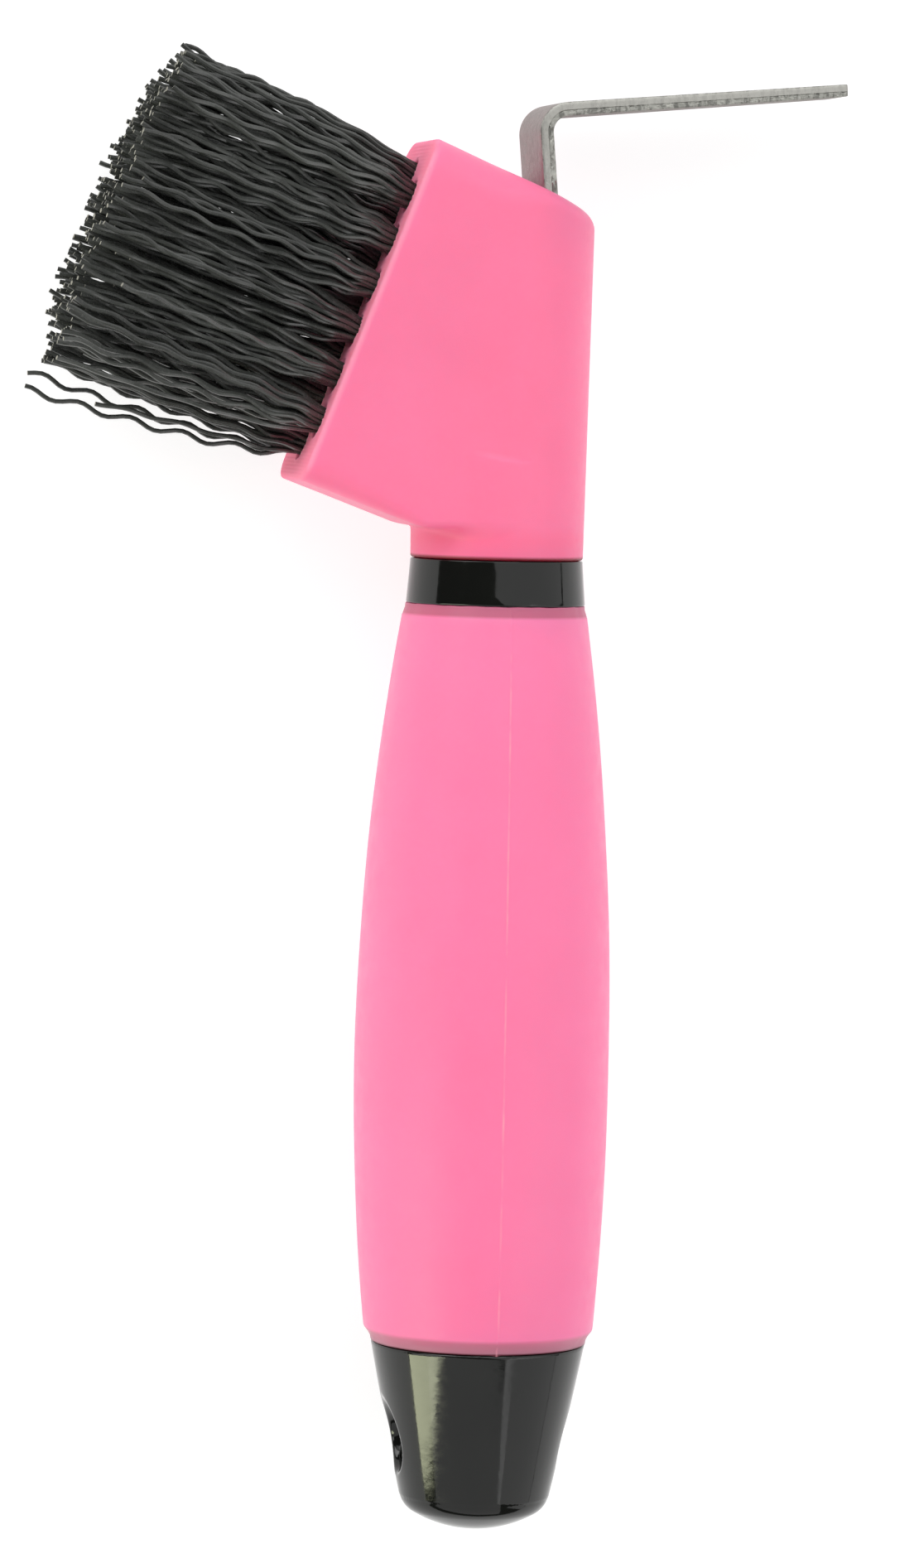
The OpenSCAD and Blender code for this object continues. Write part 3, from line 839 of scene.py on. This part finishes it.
def make_tuft(name, row, s, across, seed, bristle, cut):
    rng = np.random.default_rng(seed)
    wave = (rng.uniform(0, 2 * math.pi), rng.normal(0, 0.4))
    aim = (s * 1.03 + rng.normal(0, 0.35), across + row * FAN_ACROSS + rng.normal(0, 0.3))
    points, faces, kinds = [], [], []
    floor = CAD_BOX[0][2] / MM + 0.35
    for k in range(PER_TUFT):
        reach = (HOLE_R - 0.4) * math.sqrt((k + 0.5) / PER_TUFT)
        root = np.array([s + reach * math.cos(k * 2.39996), across + reach * math.sin(k * 2.39996)])
        spread = (root - (s, across)) * (2.9, 2.2)
        stray = 2.0 if rng.random() < 0.09 else 0.45
        tip = aim + spread + rng.normal(0, stray, 2)
        tip[0] = held_in(tip[0], BRUSH_HALF)
        length = trim_height(tip[0]) + rng.normal(0, 0.4)
        if rng.random() < (0.16 if row < 0 else 0.06):
            length -= rng.uniform(0.8, 5.5)
        path = face_to_tool(*filament_path(rng, root, tip, length, wave))
        keep_above(path, floor)
        add_filament(path, rng.uniform(0.92, 1.06), points, faces, kinds)
    for tip, length, crimp in STRAYS.get(name, ()):
        root = (s + math.copysign(1.2, s), across + 0.01 * length)
        path = face_to_tool(*filament_path(rng, root, tip, length, (0.0, 0.0), crimp))
        add_filament(path, 1.0, points, faces, kinds)
    obj = new_object("bristles_" + name, points, faces, [bristle, cut], math.radians(50), kinds)
    hand_in(obj, "bristle", "tuft_" + name)


def keep_above(path, floor):
    """Bends a filament's path up where it would run into the table."""
    row_z = lie_down(path)[:, 2] / MM
    lack = np.maximum(floor - row_z, 0)
    path += lack[:, None] * TURN[2]


def add_filament(path, size, points, faces, kinds):
    radius = np.full(len(path), FILAMENT_R * size)
    tube = filament_tube(path, radius)
    base = len(points)
    points.extend(tube.reshape(-1, 3).tolist())
    for i in range(len(path) - 1):
        for k in range(SIDES):
            a, b = base + i * SIDES + k, base + i * SIDES + (k + 1) % SIDES
            faces.append((a, b, b + SIDES, a + SIDES))
            kinds.append(0)
    faces.append(tuple(base + k for k in reversed(range(SIDES))))
    last = base + (len(path) - 1) * SIDES
    faces.append(tuple(last + k for k in range(SIDES)))
    kinds.extend([0, 1])


def make_brush():
    bristle = bristle_material("bristle_grey", (0.043, 0.0455, 0.042), 0.22)
    cut = bristle_material("bristle_cut_end", (0.26, 0.25, 0.21), 0.7)
    for seed, (name, row, s, across) in enumerate(tuft_places()):
        make_tuft(name, row, s, across, 100 + seed, bristle, cut)


# ---------------------------------------------------------------- stage

def make_floor():
    n = Nodes("pale_floor")
    n.link(n.ramp(n.noise(6, 2), (0.28, 0.28, 0.28), (0.29, 0.29, 0.29)), "Base Color")
    n.set(Roughness=0.85, Emission_Color=(1, 1, 1, 1), Emission_Strength=0.8)
    half = 3.0
    z = CAD_BOX[0][2]
    mesh = bpy.data.meshes.new("floor")
    corners = [(-half, -half, z), (half, -half, z), (half, half, z), (-half, half, z)]
    mesh.from_pydata(corners, [], [(0, 1, 2, 3)])
    mesh.materials.append(n.material)
    floor = bpy.data.objects.new("floor", mesh)
    bpy.context.collection.objects.link(floor)


def area_light(name, azimuth, elevation, distance, size, radiance, turn=0.0, colour=(1, 1, 1)):
    """A rectangle that faces the tool from a direction in degrees, azimuth counted from +X."""
    a, e = math.radians(azimuth), math.radians(elevation)
    back = Vector((math.cos(a) * math.cos(e), math.sin(a) * math.cos(e), math.sin(e)))
    data = bpy.data.lights.new(name, "AREA")
    data.shape = "RECTANGLE"
    data.size, data.size_y = size
    data.energy = math.pi * radiance * size[0] * size[1]
    data.color = colour
    light = bpy.data.objects.new(name, data)
    turned = Matrix.Rotation(math.radians(turn), 3, "Z")
    light.rotation_euler = (back.to_track_quat("Z", "Y").to_matrix() @ turned).to_euler()
    light.location = (CAD_BOX[0] + CAD_BOX[1]) / 2 + back * distance
    bpy.context.collection.objects.link(light)


WARM = (0.96, 1.0, 0.68)


def make_lights():
    area_light("right_panel", 37, 46, 1.0, (2.2, 1.9), 1.0)
    area_light("right_low", -29, 27, 1.05, (0.65, 1.05), 1.0)
    area_light("left_strip", -149, 21, 1.0, (0.12, 0.75), 8.6, -7.6, WARM)
    area_light("left_middle", -165, 25, 1.0, (0.18, 0.6), 3.0)
    area_light("left_head_side", 138, 26, 1.1, (0.8, 0.6), 3.4)
    area_light("key_head_end", 100, 44, 1.3, (1.4, 0.9), 1.1)
    area_light("key_butt_end", -105, 38, 1.3, (2.2, 1.3), 0.8)
    world = bpy.data.worlds.new("tent")
    world.use_nodes = True
    world.node_tree.nodes["Background"].inputs["Color"].default_value = (1, 1, 1, 1)
    world.node_tree.nodes["Background"].inputs["Strength"].default_value = 0.06
    bpy.context.scene.world = world
    bpy.context.scene.view_settings.view_transform = "Standard"


# ---------------------------------------------------------------- scene

make_camera()

pink = head_material()
gel = gel_material()
black = black_material()
zinc_broad = zinc_material("zinc_broad", (0.44, 0.405, 0.395), 0.33, 0.2, 0.85)
zinc_inner = zinc_material("zinc_inner", (0.34, 0.33, 0.315), 0.6, 0.25, 0.5)
zinc_burnished = zinc_material("zinc_burnished", (0.42, 0.415, 0.385), 0.34, 0.16)
# also used as a painted dark reflection on the bar's rounded outer corners
zinc_broken_and_dark_reflection = zinc_material("zinc_broken_and_dark_reflection", (0.37, 0.37, 0.34), 0.45, 0.6)

make_head(pink)
make_core(pink)
make_collar(black)
make_grip(gel)
make_cap(black)
make_hook([zinc_broad, zinc_burnished, zinc_broken_and_dark_reflection, zinc_inner])
make_brush()

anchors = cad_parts["tuft_anchors"]
anchors.data.materials.clear()
anchors.data.materials.append(zinc_material("anchor_wire", (0.6, 0.58, 0.5), 0.4, 0.2))

make_floor()
make_lights()
